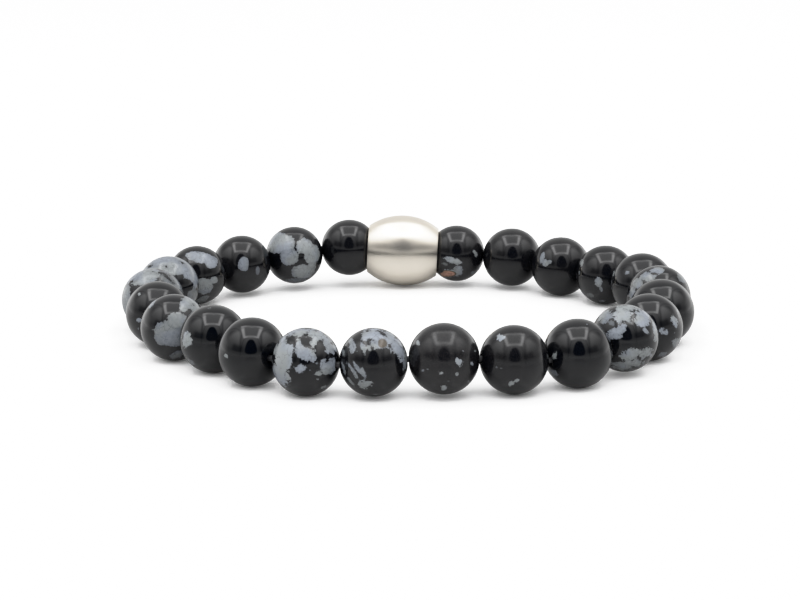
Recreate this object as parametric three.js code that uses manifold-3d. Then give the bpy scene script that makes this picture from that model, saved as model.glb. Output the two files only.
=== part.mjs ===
// Stretch bracelet of polished snowflake obsidian beads with one stainless steel barrel bead.
// Millimetres, +Z up. The bracelet lies on a table whose top is z = 0, the barrel at the back.

import * as THREE from "three";
import { mergeVertices } from "three/addons/utils/BufferGeometryUtils.js";
import Module from "manifold-3d";

const wasm = await Module();
wasm.setup();

// Obsidian beads
const HOLE_DIAMETER = 1.2; // drilled along the bead's axis
const LAND_DIAMETER = 1.5; // the small flat ground round each end of the hole
const BEAD_SIDES = 16; // facets round the axis
const BEAD_RINGS = 8; // rings of corners from end to end

// Steel barrel bead: a wide bore with thin rims, into which the two next beads nest
const BARREL_DIAMETER = 9.8;
const BARREL_LENGTH = 9.7;
const BARREL_BORE = 5.8;
const BARREL_SIDES = 24;
const BARREL_RINGS = 8;
const BARREL_CURVE_RADIUS = 8.05; // of the arc that the outside follows from end to end

// Elastic cord, knotted inside the barrel
const CORD_DIAMETER = 0.7;
const CORD_SIDES = 6;
const CORD_STEPS = 120;
const KNOT_DIAMETER = 2.2;
const KNOT_LENGTH = 3;
const KNOT_SIDES = 10;
const KNOT_RINGS = 6;

// The string as it lies. The first bead is the one to the left of the barrel, and the rest follow
// round the left side, the front and the right side. Each entry is one bead: its diameter, how many
// degrees the string turns there, and how far the bead hangs clear of the table.
const FIRST_X = -7.8;
const FIRST_Y = 29.3;
const FIRST_HEADING_DEG = 192.9;
const ALIGNING_PASSES = 2; // how often the beads turn to bring the mouths of their holes together
const STRING = [
  { diameter: 7.8, turn: 0, lift: 1.6 },
  { diameter: 7.9, turn: 13.3, lift: 0.9 },
  { diameter: 7.9, turn: 17.7, lift: 0.4 },
  { diameter: 7.9, turn: 23.3, lift: 0.1 },
  { diameter: 8.0, turn: 14.2, lift: 0.1 },
  { diameter: 8.0, turn: 19.3, lift: 0.1 },
  { diameter: 8.0, turn: 9.4, lift: 0.1 },
  { diameter: 8.1, turn: 20.7, lift: 0 },
  { diameter: 8.1, turn: -2.7, lift: 0 },
  { diameter: 8.0, turn: 16.3, lift: 0 },
  { diameter: 7.8, turn: 26.3, lift: 0 },
  { diameter: 7.8, turn: 8.9, lift: 0.2 },
  { diameter: 8.1, turn: 5.6, lift: 0.4 },
  { diameter: 7.9, turn: 15.3, lift: 0.1 },
  { diameter: 8.0, turn: 21.5, lift: 0 },
  { diameter: 7.9, turn: 20.5, lift: 0.5 },
  { diameter: 8.1, turn: 10, lift: 0 },
  { diameter: 8.1, turn: 13.2, lift: 0.1 },
  { diameter: 8.2, turn: 12.5, lift: 0 },
  { diameter: 8.2, turn: 22.7, lift: 0 },
  { diameter: 7.9, turn: 13.7, lift: 0 },
  { diameter: 8.0, turn: 9.3, lift: 0 },
  { diameter: 8.0, turn: 20.8, lift: 0.4 },
  { diameter: 7.8, turn: 0, lift: 0.7 },
];

const OBSIDIAN = new THREE.MeshStandardMaterial({ color: 0x17161a, roughness: 0.08, metalness: 0 });
const STEEL = new THREE.MeshStandardMaterial({ color: 0xd2ccc0, roughness: 0.32, metalness: 1 });
const ELASTIC = new THREE.MeshStandardMaterial({ color: 0x1c1c1e, roughness: 0.5, metalness: 0 });

const UP = new THREE.Vector3(0, 0, 1);

// Bead centres, worked out by walking along the string. Each bead touches the one before it.
function beadCentres() {
  const centres = [];
  let heading = THREE.MathUtils.degToRad(FIRST_HEADING_DEG);
  STRING.forEach((bead, i) => {
    const z = bead.diameter / 2 + bead.lift;
    if (i === 0) {
      centres.push(new THREE.Vector3(FIRST_X, FIRST_Y, z));
      return;
    }
    const before = centres[i - 1];
    const pitch = (bead.diameter + STRING[i - 1].diameter) / 2;
    const along = Math.sqrt(pitch ** 2 - (z - before.z) ** 2);
    const x = before.x + along * Math.cos(heading);
    const y = before.y + along * Math.sin(heading);
    centres.push(new THREE.Vector3(x, y, z));
    heading += THREE.MathUtils.degToRad(bead.turn);
  });
  return centres;
}

// A turned solid whose axis is +Y. The profile is a closed loop of (radius, place along the axis).
// Its radii are given to the middle of the facets, so the corners stand a little further out.
// One row of facets faces straight along -Z, and another along +Z.
function turnedSolid(profile, sides) {
  const cornerShare = 1 / Math.cos(Math.PI / sides);
  const points = profile.map(([radius, along]) => new THREE.Vector2(radius * cornerShare, along));
  points.push(points[0].clone());
  return new THREE.LatheGeometry(points, sides, Math.PI / sides);
}

// Half a bead's length from its centre to the flat land at the hole's mouth.
function landPlace(diameter) {
  return Math.sqrt((diameter / 2) ** 2 - (LAND_DIAMETER / 2) ** 2);
}

// A round bead with its hole. The rings are evenly spaced in angle from one land to the other, and
// the middle band of facets lies at the bead's full radius.
function beadGeometry(diameter) {
  const radius = diameter / 2;
  const landAngle = Math.asin(LAND_DIAMETER / diameter);
  const ringStep = (Math.PI - 2 * landAngle) / (BEAD_RINGS - 1);
  const bandShare = 1 / Math.cos(ringStep / 2);
  const profile = [[HOLE_DIAMETER / 2, -landPlace(diameter)]];
  for (let i = 0; i < BEAD_RINGS; i++) {
    const angle = landAngle + i * ringStep;
    profile.push([radius * Math.sin(angle) * bandShare, -radius * Math.cos(angle)]);
  }
  profile.push([HOLE_DIAMETER / 2, landPlace(diameter)]);
  return turnedSolid(profile, BEAD_SIDES);
}

// The barrel's outside follows an arc along its length, and its bore is straight.
function barrelGeometry() {
  const endAngle = Math.asin(BARREL_LENGTH / 2 / BARREL_CURVE_RADIUS);
  const profile = [[BARREL_BORE / 2, -BARREL_LENGTH / 2]];
  for (let i = 0; i < BARREL_RINGS; i++) {
    const angle = endAngle * ((2 * i) / (BARREL_RINGS - 1) - 1);
    const radius = BARREL_DIAMETER / 2 - BARREL_CURVE_RADIUS * (1 - Math.cos(angle));
    profile.push([radius, BARREL_CURVE_RADIUS * Math.sin(angle)]);
  }
  profile.push([BARREL_BORE / 2, BARREL_LENGTH / 2]);
  return turnedSolid(profile, BARREL_SIDES);
}

// Turns an object so that its own +Y runs along the given direction and its +Z stays as near
// upright as it can.
function layAlong(object, direction) {
  const upright = UP.clone().addScaledVector(direction, -direction.dot(UP)).normalize();
  const sideways = new THREE.Vector3().crossVectors(direction, upright);
  const turned = new THREE.Matrix4().makeBasis(sideways, direction, upright);
  object.quaternion.setFromRotationMatrix(turned);
}

function directionBetween(from, to) {
  return new THREE.Vector3().subVectors(to, from).normalize();
}

// The mouth of a bead's hole on the side of the next bead (+1) or of the bead before (-1).
function mouth(centres, axes, i, side) {
  const reach = side * landPlace(STRING[i].diameter);
  return centres[i].clone().addScaledVector(axes[i], reach);
}

// Each hole first points from the bead before to the bead after. Then the beads turn a little on
// the cord, twice, so that the mouths of neighbouring holes come closer to meeting.
function beadAxes(centres, barrelCentre) {
  const last = centres.length - 1;
  let axes = centres.map(() => new THREE.Vector3());
  for (let pass = 0; pass <= ALIGNING_PASSES; pass++) {
    axes = centres.map((centre, i) => {
      const before = i === 0 ? barrelCentre : mouth(centres, axes, i - 1, 1);
      const after = i === last ? barrelCentre : mouth(centres, axes, i + 1, -1);
      return directionBetween(before, after);
    });
  }
  return axes;
}

// Closed solid and geometry, for the one join below. Only the places of the corners are kept.
function solidFrom(geometry) {
  const bare = geometry.clone();
  bare.deleteAttribute("normal");
  bare.deleteAttribute("uv");
  const merged = mergeVertices(bare, 1e-3);
  const vertProperties = merged.attributes.position.array;
  const triVerts = new Uint32Array(merged.index.array);
  return new wasm.Manifold(new wasm.Mesh({ numProp: 3, vertProperties, triVerts }));
}

function geometryFrom(solid) {
  const mesh = solid.getMesh();
  const geometry = new THREE.BufferGeometry();
  geometry.setAttribute("position", new THREE.BufferAttribute(mesh.vertProperties, 3));
  geometry.setIndex(new THREE.BufferAttribute(mesh.triVerts, 1));
  geometry.computeVertexNormals();
  return geometry;
}

// The cord's route goes from the knot through the middle of every bead and back to the knot. From
// bead to bead it passes halfway between the two mouths that meet.
function cordRoute(centres, axes, barrelCentre) {
  const last = centres.length - 1;
  const points = [barrelCentre, mouth(centres, axes, 0, -1)];
  centres.forEach((centre, i) => {
    points.push(centre);
    const leaving = mouth(centres, axes, i, 1);
    if (i < last) leaving.lerp(mouth(centres, axes, i + 1, -1), 0.5);
    points.push(leaving);
  });
  points.push(barrelCentre);
  return new THREE.CatmullRomCurve3(points, false, "centripetal");
}

function cordGeometry(route) {
  const section = new THREE.Shape();
  for (let i = 0; i < CORD_SIDES; i++) {
    const angle = (i / CORD_SIDES) * 2 * Math.PI;
    const x = (CORD_DIAMETER / 2) * Math.cos(angle);
    const y = (CORD_DIAMETER / 2) * Math.sin(angle);
    if (i === 0) section.moveTo(x, y);
    else section.lineTo(x, y);
  }
  section.closePath();
  return new THREE.ExtrudeGeometry(section, {
    steps: CORD_STEPS,
    bevelEnabled: false,
    extrudePath: route,
  });
}

// The knot is a small rounded lump along the barrel's axis. Both ends of the cord run into it.
function knotGeometry() {
  const points = [];
  for (let i = 0; i <= KNOT_RINGS; i++) {
    const angle = (i / KNOT_RINGS) * Math.PI;
    const radius = (KNOT_DIAMETER / 2) * Math.sin(angle);
    const along = (-KNOT_LENGTH / 2) * Math.cos(angle);
    points.push(new THREE.Vector2(i === 0 || i === KNOT_RINGS ? 0 : radius, along));
  }
  return new THREE.LatheGeometry(points, KNOT_SIDES);
}

const centres = beadCentres();
const barrelCentre = new THREE.Vector3().lerpVectors(centres[0], centres[centres.length - 1], 0.5);
const barrelAxis = directionBetween(centres[centres.length - 1], centres[0]);
const axes = beadAxes(centres, barrelCentre);

const laid = new THREE.Group();

centres.forEach((centre, i) => {
  const bead = new THREE.Mesh(beadGeometry(STRING[i].diameter), OBSIDIAN);
  bead.name = "obsidian_bead_" + String(i + 1).padStart(2, "0");
  bead.position.copy(centre);
  layAlong(bead, axes[i]);
  laid.add(bead);
});

const barrel = new THREE.Mesh(barrelGeometry(), STEEL);
barrel.name = "steel_barrel_bead";
barrel.position.copy(barrelCentre);
layAlong(barrel, barrelAxis);
laid.add(barrel);

const knot = new THREE.Mesh(knotGeometry());
knot.position.copy(barrelCentre);
layAlong(knot, barrelAxis);
knot.updateMatrix();
const knotInPlace = knot.geometry.applyMatrix4(knot.matrix);
const strungCord = solidFrom(cordGeometry(cordRoute(centres, axes, barrelCentre)));
const knottedCord = strungCord.add(solidFrom(knotInPlace));
const cord = new THREE.Mesh(geometryFrom(knottedCord), ELASTIC);
cord.name = "elastic_cord";
laid.add(cord);

// The origin is on the table, under the middle of the bracelet's outer size.
const bounds = new THREE.Box3().setFromObject(laid, true);
laid.position.set(
  -(bounds.min.x + bounds.max.x) / 2,
  -(bounds.min.y + bounds.max.y) / 2,
  -bounds.min.z,
);

const bracelet = new THREE.Group();
bracelet.add(laid);

export default bracelet;
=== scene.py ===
"""Stretch bracelet: 24 polished snowflake obsidian beads and one steel barrel bead on an elastic cord."""
from math import cos, degrees, pi, radians, sin, sqrt

import bpy
import numpy as np
from mathutils import Matrix, Vector


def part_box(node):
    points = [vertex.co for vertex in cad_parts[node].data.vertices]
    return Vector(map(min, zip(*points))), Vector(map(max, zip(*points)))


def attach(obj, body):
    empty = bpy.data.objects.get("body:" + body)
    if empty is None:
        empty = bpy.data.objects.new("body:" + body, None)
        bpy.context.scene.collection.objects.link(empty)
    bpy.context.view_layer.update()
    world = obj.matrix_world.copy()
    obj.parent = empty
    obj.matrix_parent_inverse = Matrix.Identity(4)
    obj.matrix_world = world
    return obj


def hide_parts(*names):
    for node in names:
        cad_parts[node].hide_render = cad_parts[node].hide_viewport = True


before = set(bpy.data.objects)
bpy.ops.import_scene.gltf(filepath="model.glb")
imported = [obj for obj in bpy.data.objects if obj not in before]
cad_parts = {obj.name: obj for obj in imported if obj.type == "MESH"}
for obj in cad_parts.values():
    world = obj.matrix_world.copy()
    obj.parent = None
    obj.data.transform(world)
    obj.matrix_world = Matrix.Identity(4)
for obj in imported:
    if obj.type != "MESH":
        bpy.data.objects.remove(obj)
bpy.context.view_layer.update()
scene = bpy.context.scene
MM = 0.001

# The camera looks at the bracelet from the front and a little above, through a long lens that
# keeps the beads round. It leans a hair to one side, as the photograph does.
CAMERA_PLACE = Vector((-0.66, -264.72, 63.92)) * MM
CAMERA_LENS = 96.45
SENSOR_WIDTH = 36
NEAREST_SEEN = 0.01
FARTHEST_SEEN = 50
LOOKING_DOWN = radians(12.64)
LEANING = radians(0.61)

camera = bpy.data.objects.new("camera", bpy.data.cameras.new("camera"))
camera.data.lens = CAMERA_LENS
camera.data.sensor_width = SENSOR_WIDTH
camera.data.clip_start = NEAREST_SEEN
camera.data.clip_end = FARTHEST_SEEN
camera_turn = Matrix.Rotation(pi / 2 - LOOKING_DOWN, 4, "X") @ Matrix.Rotation(-LEANING, 4, "Z")
camera.matrix_world = Matrix.Translation(CAMERA_PLACE) @ camera_turn
scene.collection.objects.link(camera)
scene.camera = camera
scene.view_settings.view_transform = "Standard"

# The picture is developed as a photograph is: the brightest tones roll off softly into white. Each
# entry of the curve is a brightness in the scene and the brightness that it gets.
WHITE_AT = 3
ALL_COLORS_CURVE = 3
TONES = [(0.6, 0.6), (0.8, 0.775), (1, 0.87), (1.3, 0.95), (1.8, 1)]

scene.view_settings.use_curve_mapping = True
development = scene.view_settings.curve_mapping
development.white_level = (WHITE_AT, WHITE_AT, WHITE_AT)
tone_curve = development.curves[ALL_COLORS_CURVE]
for light, shown in TONES:
    tone_curve.points.new(light / WHITE_AT, shown)
for point in tone_curve.points:
    point.handle_type = "VECTOR"
development.update()

# The studio is a white light tent. Polished beads show all of it: a roof panel in a brighter frame,
# a domed panel on each side, a dim band low down, and the black slot that the lens looks through.
SEEN_WHITE = (1.05, 1.05, 1.05, 1)

# How bright the tent is by elevation, from the table (0) to straight above (1). Between two azimuths,
# in degrees from the camera's side, the front turns into the back.
GLOW_RANGE = 8
FRONT_GLOW = [
    (0, 0.9), (0.05, 0.68), (0.12, 0.55), (0.2, 0.52),
    (0.3, 0.65), (0.42, 0.9), (0.55, 1.4), (0.68, 1.75),
]
BACK_GLOW = [(0, 0.85), (0.1, 0.8), (0.32, 0.74), (0.5, 0.74), (0.7, 0.76), (0.78, 1.0), (0.84, 1.6)]
DOME_GLOW = [(0, 0.6), (0.13, 0.6), (0.28, 0.85), (0.4, 1.35), (0.5, 1.95), (0.62, 2.6)]
FRONT_TO_BACK = (105, 150)

# The domed side panels: an arch on a straight foot, with a darker seam round it and a dimmer rear.
# Elevations are degrees above the table, and a pair is where a soft edge starts and where it ends.
DOME_MIDDLE = 88
DOME_HALF_WIDTH = 49
DOME_HEIGHT = 50
DOME_FOOT = 12
DOME_FOOT_EDGE = (DOME_FOOT - 3, DOME_FOOT + 6)
DOME_EDGE = (0.84, 1)
DOME_SEAM_INSIDE = (0.95, 1.03)
DOME_SEAM_OUTSIDE = (1.04, 1.14)
DOME_SEAM_LOSS = 0.3
DOME_REAR = (96, 122)
DOME_REAR_FOOT = (20, 35)
DOME_REAR_LOSS = 0.6

# A brighter patch low on each side, a seam beside the slot and a shaded patch next to it.
LOW_SIDE_MIDDLE = 125
LOW_SIDE_EDGE = (15, 45)
LOW_SIDE_TOP = (10, 26)
LOW_SIDE_GAIN = 1.3
SEAM_MIDDLE = 36
SEAM_EDGE = (0.8, 2.5)
SEAM_TOP = (52, 60)
SEAM_LOSS = 0.35
SHADE_MIDDLE = 50
SHADE_EDGE = (12, 30)
SHADE_FOOT = (9, 14)
SHADE_TOP = (22, 36)
SHADE_LOSS = 0.65

# The roof panel lies level above the beads. Its sizes are for a panel that hangs 1 above them.
ROOF_HALF_WIDTH = 0.41
ROOF_FRONT = 0.46
ROOF_BACK = 0.29
ROOF_BACK_SLANT = 0.35
ROOF_EDGE = (-0.02, 0.06)
ROOF_GLOW = 1.7
LOWEST_ROOF_RAY = 0.05
FRAME_EDGE = (0.024, 0.128)
FRAME_GLOW = 3.8
FRAME_CORNER = (0.3 * ROOF_HALF_WIDTH, ROOF_HALF_WIDTH)
FRAME_CORNER_GLOW = 1.9
FRAME_BACK = (0.5 * ROOF_BACK, ROOF_BACK)
FRAME_BACK_LOSS = 0.35

# The slot for the lens is an upright oval with full corners, narrower towards its top.
SLOT_MIDDLE = 30
SLOT_HALF_HEIGHT = 24.5
SLOT_HALF_WIDTH = 25
SLOT_TAPER = 0.14
SLOT_SQUARENESS = 3
SLOT_EDGE = (0.7, 1.3)
SLOT_GLOW = (0.03, 0.035, 0.05, 1)


class Wire:
    """A socket of a node tree. Arithmetic on wires adds Math nodes to the tree."""

    def __init__(self, tree, socket=None):
        self.tree = tree
        self.socket = socket

    def node(self, kind, settings=None, sockets=None, output=0):
        """Adds a node: its settings first, then the value or the link of each socket."""
        made = self.tree.nodes.new(kind)
        for name, value in (settings or {}).items():
            if name == "stops":
                ramp = made.color_ramp.elements
                while len(ramp) < len(value):
                    ramp.new(1)
                for stop, (place, color) in zip(ramp, value):
                    stop.position = place
                    stop.color = color
            else:
                setattr(made, name, value)
        for key, value in (sockets or {}).items():
            socket = self.find(made.inputs, key)
            if isinstance(value, Wire):
                self.tree.links.new(value.socket, socket)
            else:
                socket.default_value = value
        return Wire(self.tree, self.find(made.outputs, output)) if made.outputs else None

    @staticmethod
    def find(sockets, key):
        """A socket by its place in the list, or by its identifier."""
        if isinstance(key, int):
            return sockets[key]
        return next(socket for socket in sockets if socket.identifier == key)

    def out(self, key):
        """Another output of the node that this wire comes from."""
        return Wire(self.tree, self.find(self.socket.node.outputs, key))

    def math(self, operation, *values):
        """A Math node on these values."""
        return self.node("ShaderNodeMath", {"operation": operation}, dict(enumerate(values)))

    def blend(self, factor, first, second):
        """The first colour where factor is 0, and the second one where it is 1."""
        sockets = {"Factor_Float": factor, "A_Color": first, "B_Color": second}
        return self.node("ShaderNodeMix", {"data_type": "RGBA"}, sockets, "Result_Color")

    def surface(self, look):
        """A surface with this look, as the material's result."""
        shader = self.node("ShaderNodeBsdfPrincipled", {}, look)
        self.node("ShaderNodeOutputMaterial", {}, {"Surface": shader})

    def smooth(self, start, end):
        """0 before start, 1 after end, and a smooth step between them."""
        sockets = {"Value": self, "From Min": start, "From Max": end}
        return self.node("ShaderNodeMapRange", {"interpolation_type": "SMOOTHSTEP"}, sockets)

    def mix(self, other, factor):
        """This value where factor is 0, and the other one where it is 1."""
        return self + factor * (other - self)

    def __add__(self, other):
        return self.math("ADD", self, other)

    def __sub__(self, other):
        return self.math("SUBTRACT", self, other)

    def __rsub__(self, other):
        return self.math("SUBTRACT", other, self)

    def __mul__(self, other):
        return self.math("MULTIPLY", self, other)

    def __truediv__(self, other):
        return self.math("DIVIDE", self, other)

    def __neg__(self):
        return self * -1

    def __abs__(self):
        return self.math("ABSOLUTE", self)

    __radd__ = __add__
    __rmul__ = __mul__


world = bpy.data.worlds.new("studio")
world.use_nodes = True
world.node_tree.nodes.clear()
scene.world = world
studio = Wire(world.node_tree)
facing = studio.node("ShaderNodeTexCoord", output="Generated")
across = studio.node("ShaderNodeSeparateXYZ", {}, {"Vector": facing})
back = across.out("Y")
up = across.out("Z")
elevation = studio.math("ARCSINE", up) * degrees(1)
azimuth = abs(studio.math("ARCTAN2", across, -back)) * degrees(1)


def glow(stops):
    """The brightness of a wall by its elevation."""
    greys = [(place, (level / GLOW_RANGE,) * 3 + (1,)) for place, level in stops]
    return studio.node("ShaderNodeValToRGB", {"stops": greys}, {"Fac": elevation / 90}) * GLOW_RANGE


walls = glow(FRONT_GLOW).mix(glow(BACK_GLOW), azimuth.smooth(*FRONT_TO_BACK))
dome_across = (azimuth - DOME_MIDDLE) / DOME_HALF_WIDTH
dome_up = (elevation - DOME_FOOT) / DOME_HEIGHT
dome = studio.math("SQRT", dome_across * dome_across + dome_up * dome_up)
above_foot = elevation.smooth(*DOME_FOOT_EDGE)
dome_seam = dome.smooth(*DOME_SEAM_INSIDE) * (1 - dome.smooth(*DOME_SEAM_OUTSIDE)) * above_foot
dome_rear = azimuth.smooth(*DOME_REAR) * elevation.smooth(*DOME_REAR_FOOT)
dome_light = glow(DOME_GLOW) * (1 - DOME_REAR_LOSS * dome_rear)
walls = walls.mix(dome_light, (1 - dome.smooth(*DOME_EDGE)) * above_foot)
walls = walls * (1 - DOME_SEAM_LOSS * dome_seam)

low_side = 1 - abs(azimuth - LOW_SIDE_MIDDLE).smooth(*LOW_SIDE_EDGE)
low_side = low_side * (1 - elevation.smooth(*LOW_SIDE_TOP))
seam = 1 - abs(azimuth - SEAM_MIDDLE).smooth(*SEAM_EDGE)
seam = seam * (1 - elevation.smooth(*SEAM_TOP))
shade = 1 - abs(azimuth - SHADE_MIDDLE).smooth(*SHADE_EDGE)
shade = shade * elevation.smooth(*SHADE_FOOT) * (1 - elevation.smooth(*SHADE_TOP))
walls = walls * (1 + LOW_SIDE_GAIN * low_side)
walls = walls * (1 - SEAM_LOSS * seam) * (1 - SHADE_LOSS * shade)

height = studio.math("MAXIMUM", up, LOWEST_ROOF_RAY)
roof_x = abs(across / height)
roof_y = back / height
past_side = studio.math("MAXIMUM", roof_x - ROOF_HALF_WIDTH, -roof_y - ROOF_FRONT)
past_edge = studio.math("MAXIMUM", past_side, roof_y - ROOF_BACK - ROOF_BACK_SLANT * roof_x)
frame_light = FRAME_GLOW + FRAME_CORNER_GLOW * roof_x.smooth(*FRAME_CORNER)
frame_light = frame_light * (1 - FRAME_BACK_LOSS * roof_y.smooth(*FRAME_BACK))
on_frame = 1 - abs(past_edge).smooth(*FRAME_EDGE)
tent = walls.mix(ROOF_GLOW, 1 - past_edge.smooth(*ROOF_EDGE)).mix(frame_light, on_frame)

slot_half_width = SLOT_HALF_WIDTH - SLOT_TAPER * elevation
slot_across = studio.math("POWER", azimuth / slot_half_width, SLOT_SQUARENESS)
slot_up = abs(elevation - SLOT_MIDDLE) / SLOT_HALF_HEIGHT
slot_up = studio.math("POWER", slot_up, SLOT_SQUARENESS)
in_slot = 1 - (slot_across + slot_up).smooth(*SLOT_EDGE)
grey_tent = studio.node("ShaderNodeCombineColor", {}, {"Red": tent, "Green": tent, "Blue": tent})
tent_color = studio.blend(in_slot, grey_tent, SLOT_GLOW)
reflected = studio.node("ShaderNodeBackground", {}, {"Color": tent_color})
seen = studio.node("ShaderNodeBackground", {}, {"Color": SEEN_WHITE})
camera_ray = studio.node("ShaderNodeLightPath", output="Is Camera Ray")
sky = studio.node("ShaderNodeMixShader", {}, {0: camera_ray, 1: reflected, 2: seen})
studio.node("ShaderNodeOutputWorld", {}, {"Surface": sky})

# A large softbox above the camera lights the table and the flakes. The tent hides it from the
# polish, which mirrors the roof panel instead.
SOFTBOX_UP = radians(42)
SOFTBOX_AWAY = 1
SOFTBOX_SIZE = 0.9
SOFTBOX_WATTS = 9

softbox_lamp = bpy.data.lights.new("softbox", "AREA")
softbox_lamp.size = SOFTBOX_SIZE
softbox_lamp.energy = SOFTBOX_WATTS
softbox = bpy.data.objects.new("softbox", softbox_lamp)
softbox_place = Vector((0, -cos(SOFTBOX_UP), sin(SOFTBOX_UP))) * SOFTBOX_AWAY
softbox_aim = softbox_place.to_track_quat("Z", "Y").to_matrix().to_4x4()
softbox.matrix_world = Matrix.Translation(softbox_place) @ softbox_aim
softbox.visible_glossy = False
softbox.visible_camera = False
scene.collection.objects.link(softbox)

# The table is a plain white sheet, wide enough to fill the view from any side. The camera sees it
# overexposed, as in the photograph, while the beads mirror it as it is.
TABLE_HALF = 2
TABLE_WHITE = (0.47, 0.47, 0.47, 1)
TABLE_ROUGHNESS = 0.12
TABLE_IOR = 1.45
TABLE_OVEREXPOSED = (1.05, 1.05, 1.05, 1)
TABLE_GLARE = (0.03, 0.03, 0.03, 1)


def new_finish(name):
    """An empty material, and the wire that adds nodes to it."""
    finish = bpy.data.materials.new(name)
    finish.use_nodes = True
    finish.node_tree.nodes.clear()
    return finish, Wire(finish.node_tree)


table_sheet = bpy.data.meshes.new("table")
table_corners = [(x * TABLE_HALF, y * TABLE_HALF, 0) for x, y in ((-1, -1), (1, -1), (1, 1), (-1, 1))]
table_sheet.from_pydata(table_corners, [], [(0, 1, 2, 3)])
table = bpy.data.objects.new("table", table_sheet)
scene.collection.objects.link(table)
table_paint, sheet = new_finish("white table")
mirrored_look = {"Base Color": TABLE_WHITE, "Roughness": TABLE_ROUGHNESS, "IOR": TABLE_IOR}
mirrored = sheet.node("ShaderNodeBsdfPrincipled", {}, mirrored_look)
bright = sheet.node("ShaderNodeBsdfDiffuse", {}, {"Color": TABLE_OVEREXPOSED})
glare = sheet.node("ShaderNodeEmission", {}, {"Color": TABLE_GLARE})
bright = sheet.node("ShaderNodeAddShader", {}, {0: bright, 1: glare})
seen_directly = sheet.node("ShaderNodeLightPath", output="Is Camera Ray")
sheet_surface = sheet.node("ShaderNodeMixShader", {}, {0: seen_directly, 1: mirrored, 2: bright})
sheet.node("ShaderNodeOutputMaterial", {}, {"Surface": sheet_surface})
table_sheet.materials.append(table_paint)

# The 24 round beads are snowflake obsidian, a black volcanic glass with grey crystal flakes. Each is
# ground round, drilled through, given a small flat at each end of the hole, and tumbled to a polish.
HOLE = 1.2
LAND = 1.5
EASED_EDGE = 0.12
BEAD_SIDES = 144
BEAD_FLANK_POINTS = 73
FLANK_END = 0.999
ALIGNING_PASSES = 3
FLAKE_FAR = -3
GLASS_TONE = 0
TINY = 1e-9

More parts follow.
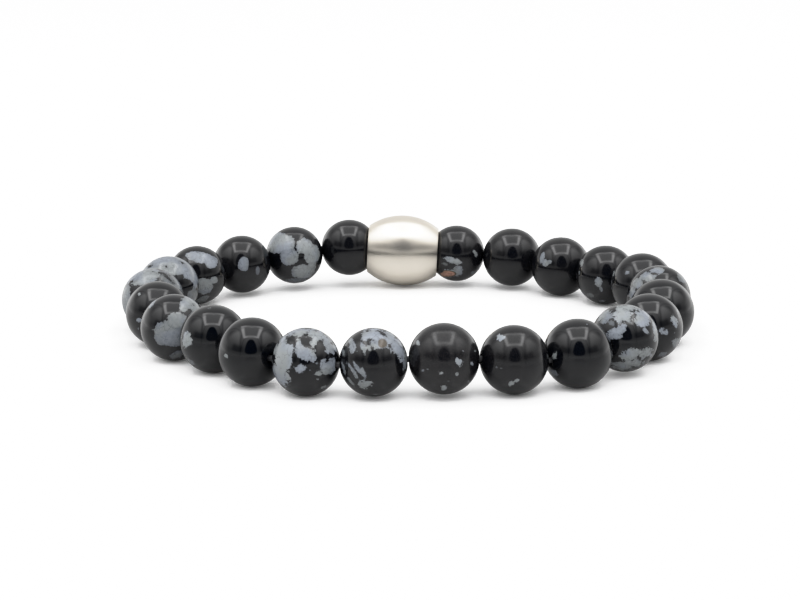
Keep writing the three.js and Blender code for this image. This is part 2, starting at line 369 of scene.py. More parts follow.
# Diameter in mm, how the far side looks, and the flakes seen from the front: mm to the right of the
# bead's middle and above it, half width, half height, turn in degrees, and tone. A flake may be cut by
# a later one of tone 0, which is glass.
BEADS = {
    1: (7.8, "plain", []),
    2: (7.9, "full", [
        (-2.3, 1.7, 1.6, 1.5, 10, 0.8), (-0.7, -0.2, 1.3, 1.3, 0, 0.74), (-1.0, 1.6, 1.1, 1.2, 0, 0.85),
        (1.4, 1.2, 1.25, 1.1, 0, 0.9), (2.4, 0.1, 1.1, 1.5, 0, 0.85), (1.1, -2.3, 1.6, 1.0, 0, 0.85),
        (2.4, -1.5, 0.6, 0.6, 0, 0.8), (-3.0, -2.8, 0.6, 0.3, -40, 0.5), (0.4, -3.6, 1.6, 0.45, 0, 0.4),
        (0.2, 2.6, 0.5, 0.35, 0, 0),
    ]),
    3: (7.9, "full", [(0.2, 0.0, 0.78, 1.0, 0, 0.75), (2.15, -0.9, 0.3, 0.65, 0, 0.4)]),
    4: (7.9, "full", [
        (0.4, 2.35, 1.9, 0.75, -8, 0.85), (1.9, 1.7, 0.85, 0.85, 0, 0.85),
        (0.9, -1.5, 1.25, 1.1, 0, 0.7), (2.3, -0.7, 0.5, 0.5, 0, 0.75), (0.7, -3.3, 1.0, 0.4, 25, 0.5),
        (-2.6, 0.5, 1.4, 1.8, 20, 0.8),
    ]),
    5: (8.0, "full", [
        (0.2, 2.7, 3.4, 1.3, 0, 0.8), (2.9, 1.2, 1.0, 1.6, 10, 0.8), (3.1, -1.3, 0.7, 1.2, 0, 0.45),
        (-3.0, 1.2, 1.0, 1.4, 0, 0.8), (2.3, 0.2, 1.0, 0.75, -25, 0), (-0.3, 2.6, 0.14, 0.14, 0, 0),
        (-2.5, 2.65, 0.35, 0.12, 10, 0), (1.7, 3.1, 0.3, 0.1, -30, 0),
    ]),
    6: (8.0, "full", [
        (-1.2, 2.9, 2.3, 1.0, 12, 0.85), (2.2, 2.6, 1.6, 0.8, -35, 0.45), (-3.5, 0.4, 0.7, 2.8, 0, 0.8),
        (1.2, 3.3, 0.9, 0.16, -15, 0), (-2.8, 2.2, 0.5, 0.12, 30, 0), (3.1, 1.5, 0.6, 1.4, 20, 0.6),
        (2.3, 2.4, 0.8, 0.12, -38, 0),
    ]),
    7: (8.0, "sparse", [
        (-2.3, 2.35, 0.24, 0.18, 0, 1.1), (-2.35, -0.85, 0.35, 0.22, -15, 1.0),
        (-2.4, -1.9, 0.14, 0.14, 0, 0.8),
    ]),
    8: (8.1, "full", [
        (-1.0, -0.7, 1.45, 1.55, 0, 0.64), (0.3, 0.8, 1.2, 1.05, 20, 0.72),
        (0.1, -1.1, 1.0, 1.3, -10, 0.6), (2.0, 3.0, 1.1, 0.8, -25, 0.85),
        (1.2, 2.45, 0.6, 0.6, 0, 0.85), (2.7, 1.9, 0.6, 1.0, 20, 0.8),
        (-2.65, 2.8, 0.2, 0.65, -38, 0.75), (0.3, -3.3, 1.0, 0.42, 22, 0.5),
        (-2.55, -0.3, 0.14, 0.12, 0, 0.6), (2.3, 2.75, 0.14, 0.1, 0, 0),
    ]),
    9: (8.1, "sparse", [
        (-3.1, -0.1, 0.58, 0.95, -4, 1.05), (-0.5, 3.6, 0.18, 0.07, 0, 0.9),
        (-2.6, -2.75, 0.5, 0.2, -38, 0.5),
    ]),
    10: (8.0, "full", [(-2.95, -0.45, 0.2, 0.24, 0, 0.9), (-1.4, -1.2, 0.08, 0.08, 0, 0.4)]),
    11: (7.8, "full", [
        (-2.5, 1.3, 1.15, 1.1, 0, 1.1), (-2.5, -0.1, 1.1, 0.95, 0, 1.2),
        (-2.9, -1.4, 0.75, 1.5, 24, 1.15), (-2.5, 2.5, 0.7, 0.6, 38, 0.95),
        (-0.85, 3.3, 1.3, 0.45, 5, 0.95), (1.3, 3.0, 1.3, 0.6, -8, 1.0),
        (2.4, 2.3, 0.6, 0.45, -30, 0.95), (-0.85, 2.1, 0.32, 0.8, 0, 0.95),
        (0.85, 2.2, 0.38, 0.7, 0, 0.95), (-0.1, 1.0, 1.1, 0.9, -15, 0.86),
        (0.75, 0.35, 0.5, 0.45, -30, 0.85), (2.75, 1.5, 0.75, 0.65, 0, 0.95),
        (2.65, -0.3, 1.0, 0.75, 0, 0.9), (2.2, -1.0, 0.8, 0.5, -20, 0.85),
        (1.45, -1.35, 0.42, 0.36, 0, 0.9), (-0.62, -0.78, 0.5, 0.45, 10, 1.0),
        (1.25, -1.95, 0.22, 0.12, -20, 0.8), (2.1, -2.85, 0.5, 0.17, 15, 0.7),
        (0.5, -0.95, 0.1, 0.08, 0, 0.6), (1.2, -0.15, 0.2, 0.1, 0, 0.7), (-1.74, 2.5, 0.52, 0.5, 0, 0),
        (0.05, 2.45, 0.55, 0.45, 0, 0), (1.65, 1.6, 0.62, 0.5, 0, 0), (-1.3, 1.0, 0.1, 0.9, 0, 0),
        (3.0, 0.5, 0.7, 0.16, 0, 0),
    ]),
    12: (7.8, "full", [
        (0.35, 3.1, 1.3, 0.7, 0, 0.95), (-0.9, 2.9, 0.45, 0.7, -10, 0.9),
        (1.7, 2.7, 0.8, 0.9, 20, 0.95), (2.75, 1.5, 0.7, 1.5, 27, 0.95),
        (3.5, -0.2, 0.26, 0.85, -8, 0.8), (0.5, 2.0, 0.95, 0.5, 0, 0.9), (1.0, 2.1, 0.62, 0.6, 0, 0.9),
        (-2.35, 1.7, 0.4, 0.8, 8, 0.9), (-1.15, 1.6, 0.3, 0.8, 16, 0.9),
        (-0.5, 1.6, 0.22, 0.5, 30, 0.8), (-2.35, -0.9, 0.2, 1.15, 34, 0.85),
        (-1.75, -0.75, 0.2, 1.05, 32, 0.9), (-1.2, -1.1, 0.24, 0.75, 30, 0.85),
        (-2.5, -2.25, 0.16, 0.6, 36, 0.8), (-3.35, -0.7, 0.13, 0.7, 16, 0.7),
        (-1.05, -2.45, 0.85, 0.45, 8, 0.9), (0.2, -3.6, 1.0, 0.1, 2, 0.6),
        (-3.4, 1.1, 0.14, 0.5, 10, 0.6), (-1.72, 2.3, 0.25, 0.8, 5, 0), (0.9, 3.35, 0.3, 0.1, -30, 0),
    ]),
    13: (8.1, "specks", [
        (-2.9, 1.75, 0.22, 0.28, 20, 1.1), (1.65, -0.45, 0.45, 0.4, -20, 1.25),
        (3.1, -0.6, 0.2, 0.3, 30, 1.0), (-0.35, -1.6, 0.34, 0.2, -15, 1.2),
        (1.45, -1.7, 0.17, 0.2, 0, 1.0), (0.0, -3.25, 0.38, 0.24, -15, 1.6),
        (-2.35, -1.35, 0.18, 0.11, -20, 0.7), (-1.85, -1.2, 0.13, 0.1, 0, 0.65),
        (2.75, -2.55, 0.14, 0.1, 30, 0.8), (2.1, 0.8, 0.09, 0.08, 0, 0.6),
        (3.5, 0.85, 0.07, 0.07, 0, 0.7), (0.5, -2.5, 0.09, 0.09, 0, 0.4),
    ]),
    14: (7.9, "sparse", [
        (-1.5, 2.5, 0.52, 0.34, 14, 1.25), (-0.3, -2.7, 0.5, 0.2, 32, 1.0),
        (0.3, -2.35, 0.34, 0.16, 22, 1.0), (0.5, -3.0, 0.24, 0.08, 0, 0.4),
        (-1.95, -0.9, 0.15, 0.09, 0, 0.4), (-1.45, -0.95, 0.13, 0.14, 0, 0.4),
    ]),
    15: (8.0, "specks", [
        (-2.6, -0.3, 0.24, 0.5, 0, 0.85), (-2.75, -2.2, 0.5, 0.3, -32, 0.7),
        (1.1, 3.35, 0.09, 0.05, 0, 0.8),
    ]),
    16: (7.9, "full", [
        (-0.2, 2.7, 1.15, 0.95, 0, 0.95), (-2.3, 2.6, 0.9, 0.8, 20, 0.75),
        (2.1, 2.35, 0.95, 1.05, 0, 0.95), (0.6, 3.5, 1.4, 0.35, -5, 0.9),
        (-0.9, 0.8, 1.3, 0.55, 26, 0.9), (-1.1, 0.15, 0.9, 0.35, 0, 0.85),
        (2.4, 0.85, 0.22, 0.48, 38, 0.9), (3.55, 0.9, 0.32, 1.8, 6, 0.75),
        (1.2, -1.95, 1.6, 0.8, 12, 0.85), (2.6, -1.6, 0.6, 0.6, 0, 0.85),
        (-0.3, -3.3, 1.4, 0.5, -5, 0.75), (0.9, -2.9, 1.2, 0.5, 0, 0.8),
        (-1.5, 1.75, 0.35, 0.3, 0, 0.3), (1.5, 3.15, 0.1, 0.25, -20, 0), (1.65, -2.1, 0.12, 0.12, 0, 0),
        (0.95, 2.6, 0.12, 0.9, -12, 0),
    ]),
    17: (8.1, "specks", [
        (1.65, -0.45, 0.62, 0.4, -22, 1.0), (1.75, -0.4, 0.12, 0.12, 0, 0),
        (3.0, 0.6, 0.34, 0.72, 16, 1.0), (3.5, 1.4, 0.1, 0.5, 14, 0.9),
        (3.05, -0.75, 0.11, 0.11, 0, 0.7), (3.3, -1.8, 0.5, 0.6, 0, 0.7),
        (1.6, -3.25, 0.6, 0.3, 20, 0.6),
    ]),
    18: (8.1, "sparse", []),
    19: (8.2, "full", [
        (-0.2, 3.35, 0.95, 0.5, 5, 0.85), (-1.3, 2.7, 1.1, 0.6, 15, 0.8),
        (-2.6, 1.8, 0.6, 0.8, -20, 0.8), (2.9, 2.6, 0.5, 0.8, 30, 0.45), (-0.5, 3.0, 0.3, 0.12, 0, 0),
        (-3.3, 0.6, 0.4, 0.9, -10, 0.7),
    ]),
    20: (8.2, "full", [(-1.9, 1.5, 0.3, 0.3, 0, 0.7), (-3.7, 1.4, 0.22, 0.42, -15, 0.8)]),
    21: (7.9, "sparse", [
        (-0.95, -0.95, 0.52, 0.72, 5, 0.85), (-0.6, -1.9, 0.22, 0.45, 20, 0.75),
        (-3.2, 1.6, 0.28, 0.5, -10, 0.75), (-3.5, 0.3, 0.14, 0.28, 0, 0.6),
        (-2.0, -2.7, 0.55, 0.28, -20, 0.4), (-0.45, -3.5, 0.42, 0.14, 0, 0.5),
    ]),
    22: (8.0, "full", [
        (-2.1, 0.5, 0.45, 0.55, 0, 0.8), (-2.5, 1.2, 0.32, 0.75, -14, 0.8),
        (-1.55, 0.6, 0.35, 0.28, 0, 0.75),
    ]),
    23: (8.0, "sparse", []),
    24: (7.8, "specks", [
        (-0.5, -1.0, 1.35, 0.42, -16, 1.05), (0.1, -1.35, 0.4, 0.3, 0, 0.8),
        (-1.1, -2.8, 1.2, 0.55, 8, 0.85), (0.25, -2.4, 0.65, 0.75, 10, 0.75),
        (-1.6, -1.5, 0.5, 0.22, -20, 0.35), (2.6, 0.0, 0.26, 0.65, 25, 0.9),
        (2.3, -2.7, 0.3, 0.3, 0, 0.4),
    ]),
}

# How dull the polish is on some beads, from 0 on the rest to 1.
DULLNESS = {
    1: 0.35, 2: 0.3, 3: 0.3, 4: 0.3, 6: 0.3, 7: 0.2, 11: 0.3, 12: 0.45, 13: 1.0, 14: 0.6, 15: 0.15, 16: 0.2,
    20: 0.2, 21: 0.3, 22: 0.35, 23: 0.45, 24: 0.45,
}

# How smooth the edges of these flakes are, from 0 on the rest to 1 for an edge with no teeth at all.
SMOOTHNESS = {2: 0.6, 3: 0.75, 4: 0.7, 5: 0.75, 6: 0.6, 8: 0.5, 19: 0.5, 21: 0.6, 22: 0.6, 24: 0.4}

# Iron has stained two flakes: right and up of the bead's middle, half width and height, and how red.
STAINS = {12: [(1.0, 2.1, 0.6, 0.58, 0.45)], 24: [(-1.3, -2.85, 1.15, 0.45, 0.9)]}

# Flakes on the side turned away from the camera: how many are tried, and their smallest and largest
# radius. Their edges are more ragged, because they are round before the teeth are cut.
FAR_SIDES = {
    "plain": (3, 0.1, 0.5),
    "sparse": (12, 0.15, 0.9),
    "specks": (30, 0.08, 0.5),
    "full": (46, 0.35, 1.7),
}
FAR_RAGGEDNESS = 1.7
FAR_START = -0.15
FAR_SIZE_MARGIN = 0.9
FAR_TONES = (0.55, 0.95)
PLAIN_TONE = 0.8
PLAIN_RAGGEDNESS = 0.5
LEAST_RAGGEDNESS = 0.3
FULLY_RAGGED_SIZE = 0.7
STAIN_AT_EDGE = 0.5
STAIN_RISE = 1.5


def turned_bead_tree():
    """A solid turned about its hole: a curved flank, flat ends and a straight hole, all edges eased."""
    tree = bpy.data.node_groups.new("turned bead", "GeometryNodeTree")
    kinds = {
        "Diameter": "Float", "Curve radius": "Float", "Length": "Float", "Hole": "Float",
        "Eased edge": "Float", "Flank points": "Int", "Sides": "Int", "Middle": "Vector", "Axis": "Vector",
        "Finish": "Material",
    }
    for name, kind in kinds.items():
        tree.interface.new_socket(name, in_out="INPUT", socket_type="NodeSocket" + kind)
    tree.interface.new_socket("Bead", in_out="OUTPUT", socket_type="NodeSocketGeometry")
    bead = Wire(tree)
    given = bead.node("NodeGroupInput")
    size = {name: given.out(i) for i, name in enumerate(kinds)}

    half_length = size["Length"] / 2
    hole_radius = size["Hole"] / 2
    corner = bead.node("GeometryNodeInputIndex")
    along = 2 * corner / (size["Flank points"] - 1) - 1
    angle = along * bead.math("ARCSINE", half_length / size["Curve radius"])
    flank_radius = size["Diameter"] / 2 - size["Curve radius"] * (1 - bead.math("COSINE", angle))
    flank_place = size["Curve radius"] * bead.math("SINE", angle)
    in_hole = bead.math("GREATER_THAN", corner, size["Flank points"] - 0.5)
    second_end = bead.math("GREATER_THAN", corner, size["Flank points"] + 0.5)
    radius = flank_radius.mix(hole_radius, in_hole)
    place = flank_place.mix(half_length * (1 - 2 * second_end), in_hole)
    outline = bead.node("ShaderNodeCombineXYZ", {}, {"X": radius - hole_radius, "Y": place})

    points = bead.node("GeometryNodeMeshLine", {}, {"Count": size["Flank points"] + 2})
    points = bead.node("GeometryNodeSetPosition", {}, {"Geometry": points, "Position": outline})
    profile = bead.node("GeometryNodeMeshToCurve", {}, {"Mesh": points})
    profile = bead.node("GeometryNodeSetSplineCyclic", {}, {"Geometry": profile, "Cyclic": True})
    at_corner = bead.math("GREATER_THAN", abs(along), FLANK_END)
    easing = {"Curve": profile, "Count": 3, "Radius": at_corner * size["Eased edge"], "Limit Radius": True}
    profile = bead.node("GeometryNodeFilletCurve", {"mode": "POLY"}, easing)
    turning = {"Resolution": size["Sides"], "Radius": hole_radius}
    circle = bead.node("GeometryNodeCurvePrimitiveCircle", {"mode": "RADIUS"}, turning)
    solid = bead.node("GeometryNodeCurveToMesh", {}, {"Curve": circle, "Profile Curve": profile})
    solid = bead.node("GeometryNodeSetShadeSmooth", {}, {"Geometry": solid})
    aligning = {"Vector": size["Axis"]}
    facing_along = bead.node("FunctionNodeAlignRotationToVector", {"axis": "Z"}, aligning)
    placing = {"Geometry": solid, "Translation": size["Middle"], "Rotation": facing_along}
    solid = bead.node("GeometryNodeTransform", {}, placing)
    solid = bead.node("GeometryNodeRealizeInstances", {}, {"Geometry": solid})
    solid = bead.node("GeometryNodeSetMaterial", {}, {"Geometry": solid, "Material": size["Finish"]})
    bead.node("NodeGroupOutput", {}, {0: solid})
    return tree


turned_bead = turned_bead_tree()


def turned_piece(name, sizes):
    """A plain mesh object made by the turned bead tree with these sizes."""
    piece = bpy.data.objects.new(name, bpy.data.meshes.new(name))
    scene.collection.objects.link(piece)
    turning = piece.modifiers.new("turning", "NODES")
    turning.node_group = turned_bead
    for socket in turned_bead.interface.items_tree:
        if socket.name in sizes:
            turning[socket.identifier] = sizes[socket.name]
    evaluated = piece.evaluated_get(bpy.context.evaluated_depsgraph_get())
    made = bpy.data.meshes.new_from_object(evaluated)
    piece.modifiers.remove(turning)
    piece.data = made
    made.name = name
    return piece


def middle_of(node):
    """The middle of a CAD node's box."""
    low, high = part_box(node)
    return (low + high) / 2


def bead_length(diameter):
    """How long a bead is from the flat at one end of its hole to the flat at the other."""
    return sqrt(diameter ** 2 - LAND ** 2) * MM


def hole_directions(middles, reaches, barrel_middle):
    """The beads' axes: each hole points from the mouth before it to the mouth after it."""
    axes = [Vector()] * len(middles)
    for _ in range(ALIGNING_PASSES):
        leaving = [m + r * a for m, r, a in zip(middles, reaches, axes)]
        entering = [m - r * a for m, r, a in zip(middles, reaches, axes)]
        before = [barrel_middle] + leaving[:-1]
        after = entering[1:] + [barrel_middle]
        axes = [(b - a).normalized() for a, b in zip(before, after)]
    return axes


def view_from_front(middle):
    """Right, up and towards the camera at a bead, as directions."""
    towards = (CAMERA_PLACE - middle).normalized()
    right = camera_turn.col[1].to_3d().cross(towards).normalized()
    return right, towards.cross(right), towards


def inside_oval(x, y, oval):
    """How far inside an oval the points lie, in mm. It is below zero outside."""
    right, above, half_width, half_height, turn = oval
    c = cos(radians(turn))
    s = sin(radians(turn))
    along = ((x - right) * c + (y - above) * s) / half_width
    over = ((y - above) * c - (x - right) * s) / half_height
    return (1 - np.sqrt(along ** 2 + over ** 2)) * min(half_width, half_height)


def raggedness(size):
    """How ragged a flake's edge is: least on the smallest flakes, and 1 on the large ones."""
    return min(1, max(LEAST_RAGGEDNESS, size / FULLY_RAGGED_SIZE))


def grow_flakes(bead, number, middle):
    """Writes at each point how far inside a flake it is, and the flake's tone, raggedness and stain."""
    diameter, far_side, flakes = BEADS[number]
    radius = diameter / 2
    places = np.empty(len(bead.data.vertices) * 3)
    bead.data.vertices.foreach_get("co", places)
    places = (places.reshape(-1, 3) - np.array(middle)) / MM
    x, y, depth = (places @ np.array(axis) for axis in view_from_front(middle))
    off_middle = np.hypot(x, y) + TINY
    turned_away = np.arctan2(off_middle, depth)
    unrolled = np.where(turned_away < pi / 2, off_middle, radius * (1 + turned_away - pi / 2))
    x *= unrolled / off_middle
    y *= unrolled / off_middle

    inside = np.full(len(places), float(FLAKE_FAR))
    tone = np.full(len(places), PLAIN_TONE)
    ragged = np.full(len(places), PLAIN_RAGGEDNESS)
    teeth_left = 1 - SMOOTHNESS.get(number, 0)
    for *oval, oval_tone in flakes:
        depth_in = inside_oval(x, y, oval)
        if oval_tone == GLASS_TONE:
            inside = np.minimum(inside, -depth_in)
        else:
            tone = np.where(depth_in > inside, oval_tone, tone)
            ragged = np.where(depth_in > inside, raggedness(min(oval[2:4])) * teeth_left, ragged)
            inside = np.maximum(inside, depth_in)

    draw = np.random.default_rng(number)
    count, smallest, largest = FAR_SIDES[far_side]
    directions = places / np.linalg.norm(places, axis=1)[:, None]
    towards = np.array(view_from_front(middle)[2])
    for _ in range(count):
        spot = draw.normal(size=3)
        spot /= np.linalg.norm(spot)
        size = smallest + (largest - smallest) * draw.random() ** 2
        spot_tone = FAR_TONES[0] + (FAR_TONES[1] - FAR_TONES[0]) * draw.random()
        if spot @ towards > FAR_START - size / radius * FAR_SIZE_MARGIN:
            continue
        depth_in = size - radius * np.arccos(np.clip(directions @ spot, -1, 1))
        tone = np.where(depth_in > inside, spot_tone, tone)
        ragged = np.where(depth_in > inside, raggedness(size) * FAR_RAGGEDNESS, ragged)
        inside = np.maximum(inside, depth_in)

    stain = np.zeros(len(places))
    for *oval, redness in STAINS.get(number, []):
        depth_in = inside_oval(x, y, oval + [0]) / min(oval[2:4])
        strength = np.clip(STAIN_AT_EDGE + STAIN_RISE * depth_in, 0, 1)
        stain = np.maximum(stain, redness * strength)
    dull = np.full(len(places), float(DULLNESS.get(number, 0)))
    grown = {"flake": inside, "tone": tone, "ragged": ragged, "stain": stain, "dull": dull}
    for name, values in grown.items():
        bead.data.attributes.new(name, "FLOAT", "POINT").data.foreach_set("value", values)


# The stone's colours and patterns. Three numbers are a pattern's scale, detail and roughness, and the
# larger the scale, the finer it is. A pair is the pattern's value where something begins to show and
# the value where it shows fully.
GLASS_CLEAN = (0.0002, 0.0007, 0.0018, 1)
GLASS_CLOUDY = (0.0016, 0.0019, 0.0027, 1)
GLASS_DULL = (0.0165, 0.0142, 0.015, 1)
CRYSTAL_GREY = (0.212, 0.228, 0.234, 1)
CRYSTAL_BLUE = (0.2, 0.221, 0.254, 1)
CRYSTAL_SHADOW = (0.006, 0.007, 0.008, 1)
IRON_TAN = (0.064, 0.05, 0.035, 1)
IRON_RUST = (0.34, 0.18, 0.125, 1)
LOBES = (1500, 4, 0.6)
LOBE_CUT = 1.7
TEETH = (4200, 4, 0.7)
TOOTH_CUT = 0.9
FLAKE_EDGE = (-0.02, 0.06)
CRACK_SCALE = 1500
CRACK_EDGE = (0, 0.06)
CRACKING = (900, 2, 0.5)
CRACKED_PARTS = (0.48, 0.58)
CRACK_LOSS = 0.45
MOTTLING = (2600, 5, 0.7)
MOTTLE_CONTRAST = 0.8
CRYSTAL_SHADE = 0.78
FLAKE_MIDDLE = (0, 0.45)
FLAKE_MIDDLE_GAIN = 0.25
TINTING = (350, 2, 0.5)
TINTED_PARTS = (0.4, 0.6)
STAIN_LOBE_CUT = 1.2
STAIN_TOOTH_CUT = 0.5
TAN_PARTS = (0.2, 0.4)
RUST_PARTS = (0.48, 0.8)
CLOUDS = (500, 2, 0.5)
CLOUDY_PARTS = (0.35, 0.7)
PITS = (9000, 3, 0.7)
PITTED_PARTS = (0.4, 0.75)
WAVES = (260, 1, 0.5)
WAVE_DEPTH = 0.00004
GLASS_ROUGHNESS = 0.07
CRYSTAL_ROUGHNESS = 0.06
DULL_ROUGHNESS = 0.05
PIT_ROUGHNESS = 0.14
GLASS_IOR = 1.46


def snowflake_obsidian():
    """Black glass with grey flakes whose edges are ragged, all under one polish."""
    finish, stone = new_finish("polished snowflake obsidian")
    place = stone.node("ShaderNodeTexCoord", output="Object")

    def noise(scale, detail, roughness):
        """A pattern that fills the stone, from 0 to 1 and mostly near 0.5."""
        sockets = {"Vector": place, "Scale": scale, "Detail": detail, "Roughness": roughness}
        return stone.node("ShaderNodeTexNoise", {}, sockets)

    def painted(name):
        """What was written at the points of the bead under this name."""
        return stone.node("ShaderNodeAttribute", {"attribute_name": name}, {}, "Fac")

    lobes = noise(*LOBES) - 0.5
    teeth = noise(*TEETH) - 0.5
    edge = painted("flake") + painted("ragged") * (LOBE_CUT * lobes + TOOTH_CUT * teeth)
    flake = edge.smooth(*FLAKE_EDGE)
    cells = {"Vector": place, "Scale": CRACK_SCALE}
    cracks = stone.node("ShaderNodeTexVoronoi", {"feature": "DISTANCE_TO_EDGE"}, cells)
    cracked = noise(*CRACKING).smooth(*CRACKED_PARTS)
    crack = (1 - cracks.smooth(*CRACK_EDGE)) * cracked
    mottle = CRYSTAL_SHADE + MOTTLE_CONTRAST * (noise(*MOTTLING) - 0.5)
    mottle = mottle + FLAKE_MIDDLE_GAIN * edge.smooth(*FLAKE_MIDDLE)
    shade = painted("tone") * mottle * (1 - CRACK_LOSS * crack)
    tint = noise(*TINTING).smooth(*TINTED_PARTS)
    clear = stone.blend(tint, CRYSTAL_GREY, CRYSTAL_BLUE)

    stain = painted("stain")
    stain = stain + stain * (STAIN_LOBE_CUT * lobes + STAIN_TOOTH_CUT * teeth)
    tan = stone.blend(stain.smooth(*TAN_PARTS), clear, IRON_TAN)
    crystal = stone.blend(stain.smooth(*RUST_PARTS), tan, IRON_RUST)
    crystal = stone.blend(shade, CRYSTAL_SHADOW, crystal)

    dull = painted("dull")
    pits = noise(*PITS)
    clouds = noise(*CLOUDS).smooth(*CLOUDY_PARTS)
    glass = stone.blend(clouds, GLASS_CLEAN, GLASS_CLOUDY)
    glass = stone.blend(dull * pits.smooth(*PITTED_PARTS), glass, GLASS_DULL)
    color = stone.blend(flake, glass, crystal)
    roughness = GLASS_ROUGHNESS + CRYSTAL_ROUGHNESS * flake
    roughness = roughness + dull * (DULL_ROUGHNESS + PIT_ROUGHNESS * pits)
    waves = {"Strength": 1.0, "Distance": WAVE_DEPTH, "Height": noise(*WAVES)}
    wobble = stone.node("ShaderNodeBump", {}, waves)
    stone.surface({"Base Color": color, "Roughness": roughness, "IOR": GLASS_IOR, "Normal": wobble})
    return finish


obsidian = snowflake_obsidian()
bead_nodes = ["obsidian_bead_%02d" % number for number in BEADS]
bead_middles = [middle_of(node) for node in bead_nodes]
barrel_middle = (bead_middles[0] + bead_middles[-1]) / 2
bead_reaches = [bead_length(diameter) / 2 for diameter, *_ in BEADS.values()]
bead_axes = hole_directions(bead_middles, bead_reaches, barrel_middle)
for number, node, middle, axis in zip(BEADS, bead_nodes, bead_middles, bead_axes):
    diameter = BEADS[number][0]
    bead = turned_piece("bead_%02d" % number, {
        "Diameter": diameter * MM,
        "Curve radius": diameter / 2 * MM,
        "Length": bead_length(diameter),
        "Hole": HOLE * MM,
        "Eased edge": EASED_EDGE * MM,
        "Flank points": BEAD_FLANK_POINTS,
        "Sides": BEAD_SIDES,
        "Middle": middle,
        "Axis": axis,
        "Finish": obsidian,
    })
    grow_flakes(bead, number, middle)
    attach(bead, "root")
    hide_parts(node)

# The barrel bead is stainless steel, turned on a lathe with a wide bore that hides the cord's knot,
# and rubbed to a satin shine. The beads beside it sit a little way into its open ends.
BARREL = 9.8
BARREL_LENGTH = 9.7
BARREL_BORE = 5.8
BARREL_CURVE_RADIUS = 8.05
BARREL_EASED_EDGE = 0.07
BARREL_SIDES = 160
BARREL_FLANK_POINTS = 81
GRAIN_CENTRE = 200
STEEL_DARKER = (0.87, 0.81, 0.71, 1)
STEEL_LIGHTER = (0.97, 0.905, 0.795, 1)
STEEL_METALLIC = 0.98
STEEL_ROUGHNESS = 0.26
RUBBING_ROUGHNESS = 0.08
STEEL_SPREAD = 0.7
TURNING_LINE_SCALE = 16000
TURNING_LINE_DEPTH = 0.000005
RUBBING_SCALE = 420


def satin_steel(axis):
    """Warm steel with fine turning lines round the barrel and faint rubbing marks."""
    finish, steel = new_finish("satin stainless steel")
    place = steel.node("ShaderNodeTexCoord", output="Object")
    dotting = {0: place, 1: axis}
    along = steel.node("ShaderNodeVectorMath", {"operation": "DOT_PRODUCT"}, dotting, "Value")
    lines = {"W": along, "Scale": TURNING_LINE_SCALE, "Detail": 3, "Roughness": 0.6}
    line = steel.node("ShaderNodeTexNoise", {"noise_dimensions": "1D"}, lines)
    rubbing = {"Vector": place, "Scale": RUBBING_SCALE, "Detail": 4, "Roughness": 0.6}
    rubbed = steel.node("ShaderNodeTexNoise", {}, rubbing)
    grooves = {"Strength": 1.0, "Distance": TURNING_LINE_DEPTH, "Height": line}
    steel.surface({
        "Base Color": steel.blend(rubbed, STEEL_DARKER, STEEL_LIGHTER),
        "Metallic": STEEL_METALLIC,
        "Roughness": STEEL_ROUGHNESS + RUBBING_ROUGHNESS * rubbed,
        "Anisotropic": STEEL_SPREAD,
        "Normal": steel.node("ShaderNodeBump", {}, grooves),
    })
    return finish


barrel_axis = (bead_middles[0] - bead_middles[-1]).normalized()
barrel = turned_piece("barrel_bead", {
    "Diameter": BARREL * MM,
    "Curve radius": BARREL_CURVE_RADIUS * MM,
    "Length": BARREL_LENGTH * MM,
    "Hole": BARREL_BORE * MM,
    "Eased edge": BARREL_EASED_EDGE * MM,
    "Flank points": BARREL_FLANK_POINTS,
    "Sides": BARREL_SIDES,
    "Middle": barrel_middle,
    "Axis": barrel_axis,
    "Finish": satin_steel(barrel_axis),
})
# The shine spreads at right angles to the turning lines. Blender takes its direction from the centre
# of the mesh's texture space, so that lies far off to one side of the barrel.
barrel.data.use_auto_texspace = False
off_to_one_side = Vector((-barrel_axis.y, barrel_axis.x, 0)) * GRAIN_CENTRE * MM
barrel.data.texspace_location = barrel_middle + off_to_one_side
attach(barrel, "root")
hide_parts("steel_barrel_bead")

# The cord is a dark round stretch cord. It runs through every hole, and its two ends are wound round
# each other and pulled into a knot, which lies inside the barrel.
CORD = 0.7
CORD_SIDES = 12
CORD_STEPS_PER_SPAN = 6
KNOT_TURNS = 3
KNOT_RADIUS = 0.66
KNOT_LENGTH = 2.2
KNOT_STEPS_PER_TURN = 24
TAIL = 1.1
TAIL_SPLAY = 0.25
CORD_DARKER = (0.012, 0.012, 0.014, 1)
CORD_LIGHTER = (0.035, 0.035, 0.038, 1)
FIBRE_SCALE = 6000
FIBRE_DEPTH = 0.00002
FIBRE_STRENGTH = 0.4
FIBRE_ROUGHNESS = 0.15
CORD_ROUGHNESS = 0.42


def smooth_route(points, steps):
    """A curve through all points, with the same number of steps between each two."""
    route = []
    ends = [2 * points[0] - points[1]] + points + [2 * points[-1] - points[-2]]
    for before, start, end, after in zip(ends, ends[1:], ends[2:], ends[3:]):
        for i in range(steps):
            t = i / steps
            bend = 2 * before - 5 * start + 4 * end - after
            twist = 3 * start - before - 3 * end + after
            route.append(start + 0.5 * t * (end - before + t * (bend + t * twist)))
    return route + [points[-1]]


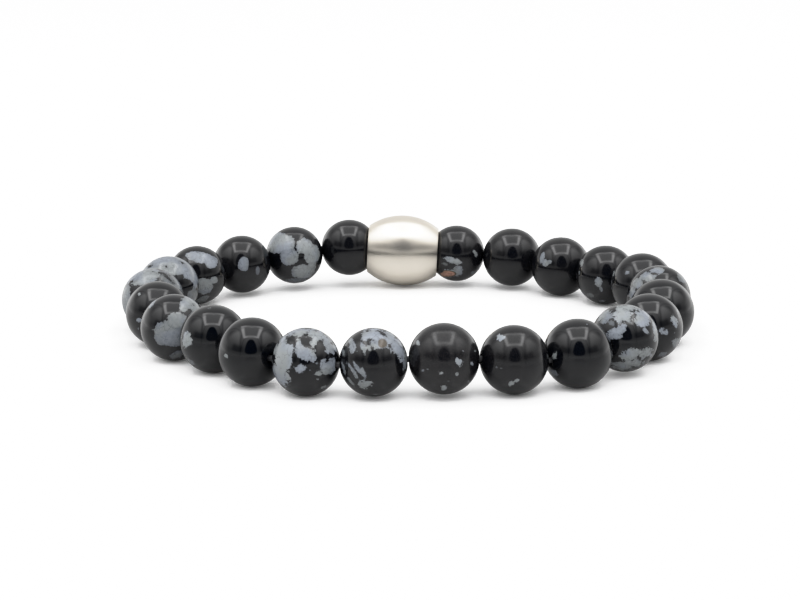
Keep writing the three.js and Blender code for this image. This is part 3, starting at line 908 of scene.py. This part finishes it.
def knot_route(middle, axis):
    """One end wound round the other, from a short tail to a short tail."""
    aside = axis.cross(Vector((0, 0, 1))).normalized()
    above = aside.cross(axis)
    steps = KNOT_STEPS_PER_TURN * KNOT_TURNS
    route = []
    for i in range(steps + 1):
        part = i / steps
        angle = 2 * pi * KNOT_TURNS * part
        outward = aside * cos(angle) + above * sin(angle)
        route.append(middle + (axis * (part - 0.5) * KNOT_LENGTH + outward * KNOT_RADIUS) * MM)
    first_tail = route[0] + (aside * TAIL_SPLAY - axis) * TAIL * MM
    last_tail = route[-1] + (aside * TAIL_SPLAY + axis) * TAIL * MM
    return [first_tail] + route + [last_tail]


def elastic():
    """Dark stretch cord with a fine wound texture along it."""
    finish, rubber = new_finish("dark elastic")
    place = rubber.node("ShaderNodeTexCoord", output="Object")
    winding = {"Vector": place, "Scale": FIBRE_SCALE, "Detail": 3}
    fibres = rubber.node("ShaderNodeTexNoise", {}, winding)
    ridging = {"Strength": FIBRE_STRENGTH, "Distance": FIBRE_DEPTH, "Height": fibres}
    rubber.surface({
        "Base Color": rubber.blend(fibres, CORD_DARKER, CORD_LIGHTER),
        "Roughness": CORD_ROUGHNESS + FIBRE_ROUGHNESS * fibres,
        "Normal": rubber.node("ShaderNodeBump", {}, ridging),
    })
    return finish


mouths_in = [m - r * a for m, r, a in zip(bead_middles, bead_reaches, bead_axes)]
mouths_out = [m + r * a for m, r, a in zip(bead_middles, bead_reaches, bead_axes)]
cord_points = [barrel_middle, mouths_in[0]]
for i, middle in enumerate(bead_middles[:-1]):
    cord_points += [middle, (mouths_out[i] + mouths_in[i + 1]) / 2]
cord_points += [bead_middles[-1], mouths_out[-1], barrel_middle]
cord_curve = bpy.data.curves.new("cord", "CURVE")
cord_curve.dimensions = "3D"
cord_curve.bevel_depth = CORD / 2 * MM
cord_curve.bevel_resolution = CORD_SIDES // 4
cord_curve.use_fill_caps = True
for route in (smooth_route(cord_points, CORD_STEPS_PER_SPAN), knot_route(barrel_middle, barrel_axis)):
    spline = cord_curve.splines.new("POLY")
    spline.points.add(len(route) - 1)
    for point, at in zip(spline.points, route):
        point.co = (*at, 1)
cord_drawing = bpy.data.objects.new("cord_drawing", cord_curve)
scene.collection.objects.link(cord_drawing)
drawn = cord_drawing.evaluated_get(bpy.context.evaluated_depsgraph_get())
cord = bpy.data.objects.new("cord", bpy.data.meshes.new_from_object(drawn))
scene.collection.objects.link(cord)
bpy.data.objects.remove(cord_drawing)
cord.data.materials.clear()
cord.data.materials.append(elastic())
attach(cord, "root")
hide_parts("elastic_cord")
